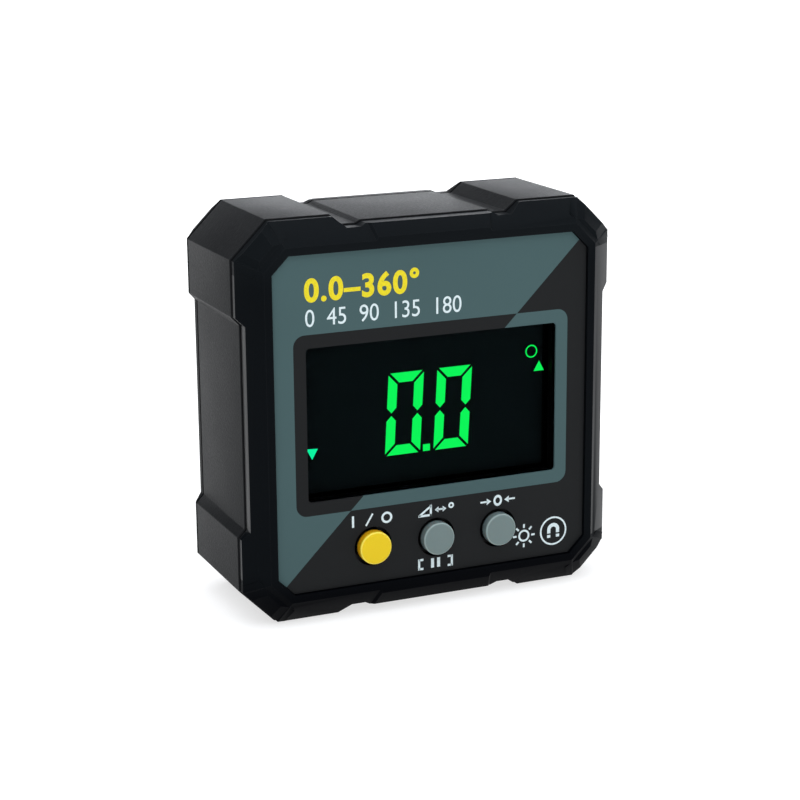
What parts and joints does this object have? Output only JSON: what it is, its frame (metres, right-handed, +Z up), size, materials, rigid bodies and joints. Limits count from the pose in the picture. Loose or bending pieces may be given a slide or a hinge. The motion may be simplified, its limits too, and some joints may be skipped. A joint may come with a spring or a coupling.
{
  "type": "inclinometer",
  "caption": "Square digital angle box with a dark display window, a row of round push-buttons, grooved measuring faces and a swinging battery door at the back.",
  "frame": {"origin": "centre of the footprint, on the plane of the lower measuring blocks", "axes": "+Z up, display faces -Y, +X to the right as seen from the front"},
  "size_m": [0.06, 0.0266, 0.06],
  "materials": {
    "bezel_plastic": "smooth satin moulding",
    "housing_plastic": "fine spark-eroded grain",
    "cover_plastic": "fine spark-eroded grain",
    "door_plastic": "fine spark-eroded grain",
    "label_film": "printed satin film in two tones",
    "clear_pane": "clear moulded pane",
    "display_glass": "dark display glass with lit marks",
    "frame_plastic": "black moulding",
    "black_foam": "closed-cell foam",
    "light_guide": "milky acrylic",
    "lamp_resin": "pale resin",
    "contact_rubber": "layered contact strip",
    "cell_jacket": "printed sleeve on a metal can",
    "contact_metal": "nickel-plated sheet",
    "board_laminate": "green solder mask",
    "chip_resin": "moulded resin",
    "crystal_can": "drawn can",
    "capacitor_ceramic": "fired ceramic",
    "screw_steel": "zinc-plated",
    "yellow_button": "satin moulding",
    "grey_button": "satin moulding",
    "plunger_plastic": "moulded",
    "switch_plastic": "moulded",
    "magnet_metal": "nickel-plated"
  },
  "bodies": {
    "case": {"front_bezel": "bezel_plastic", "face_label": "label_film", "display_lens": "clear_pane", "display_gasket": "black_foam", "lcd_frame": "frame_plastic", "lcd_panel": "display_glass", "lcd_backlight": "light_guide", "backlight_lamps": "lamp_resin", "lcd_connectors": "contact_rubber", "mid_housing": "housing_plastic", "rear_cover": "cover_plastic", "battery_cell_upper": "cell_jacket", "battery_cell_lower": "cell_jacket", "positive_contact": "contact_metal", "negative_contact": "contact_metal", "link_contact": "contact_metal", "main_board": "board_laminate", "sensor_chip": "chip_resin", "controller_chip": "chip_resin", "clock_crystal": "crystal_can", "capacitors": "capacitor_ceramic", "case_screws": "screw_steel", "board_screws": "screw_steel", "power_switch": "switch_plastic", "hold_switch": "switch_plastic", "zero_switch": "switch_plastic", "base_magnets": "magnet_metal", "top_magnets": "magnet_metal", "left_magnets": "magnet_metal", "right_magnets": "magnet_metal"},
    "power_key": {"power_button": "yellow_button", "power_plunger": "plunger_plastic"},
    "hold_key": {"hold_button": "grey_button", "hold_plunger": "plunger_plastic"},
    "zero_key": {"zero_button": "grey_button", "zero_plunger": "plunger_plastic"},
    "door": {"battery_door": "door_plastic", "door_pad": "black_foam"}
  },
  "joints": [
    {"name": "power_press", "type": "slide", "parent": "case", "child": "power_key", "axis": [0, 1, 0], "range_m": [0, 0.0005], "stiffness_N_per_m": 2000},
    {"name": "hold_press", "type": "slide", "parent": "case", "child": "hold_key", "axis": [0, 1, 0], "range_m": [0, 0.0005], "stiffness_N_per_m": 2000},
    {"name": "zero_press", "type": "slide", "parent": "case", "child": "zero_key", "axis": [0, 1, 0], "range_m": [0, 0.0005], "stiffness_N_per_m": 2000},
    {"name": "door_swing", "type": "hinge", "parent": "case", "child": "door", "pos_m": [0, 0.01328, 0.0179], "axis": [-1, 0, 0], "range_deg": [0, 80]}
  ]
}
